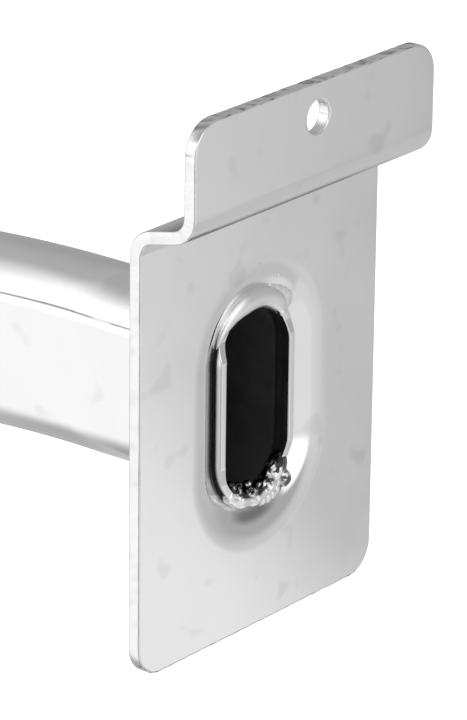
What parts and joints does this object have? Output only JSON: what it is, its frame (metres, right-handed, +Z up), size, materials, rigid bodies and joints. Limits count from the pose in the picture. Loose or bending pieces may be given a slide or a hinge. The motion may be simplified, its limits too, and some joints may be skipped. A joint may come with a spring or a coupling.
{
  "type": "slatwall garment rail",
  "caption": "Bowed hanging rail of flat-sided oval tube, welded at each end into a folded sheet bracket whose tongue hooks behind the lip of a slatwall groove.",
  "frame": {"origin": "on the front plane of the wall, midway between the two brackets and level with the tube's centre line", "axes": "+X along the wall to the right as seen from the room, +Y into the wall, +Z up"},
  "size_m": [0.635, 0.2622, 0.0869],
  "materials": {
    "tube_chrome": "bright chrome plating on smooth drawn tube",
    "bracket_chrome": "bright chrome plating on pressed sheet, with slight waviness and small specks",
    "weld_chrome": "chrome plating over a bumpy weld bead"
  },
  "bodies": {
    "root": {"rail_tube": "tube_chrome", "left_bracket": "bracket_chrome", "right_bracket": "bracket_chrome", "left_top_weld": "weld_chrome", "left_bottom_weld": "weld_chrome", "right_top_weld": "weld_chrome", "right_bottom_weld": "weld_chrome"}
  },
  "joints": []
}
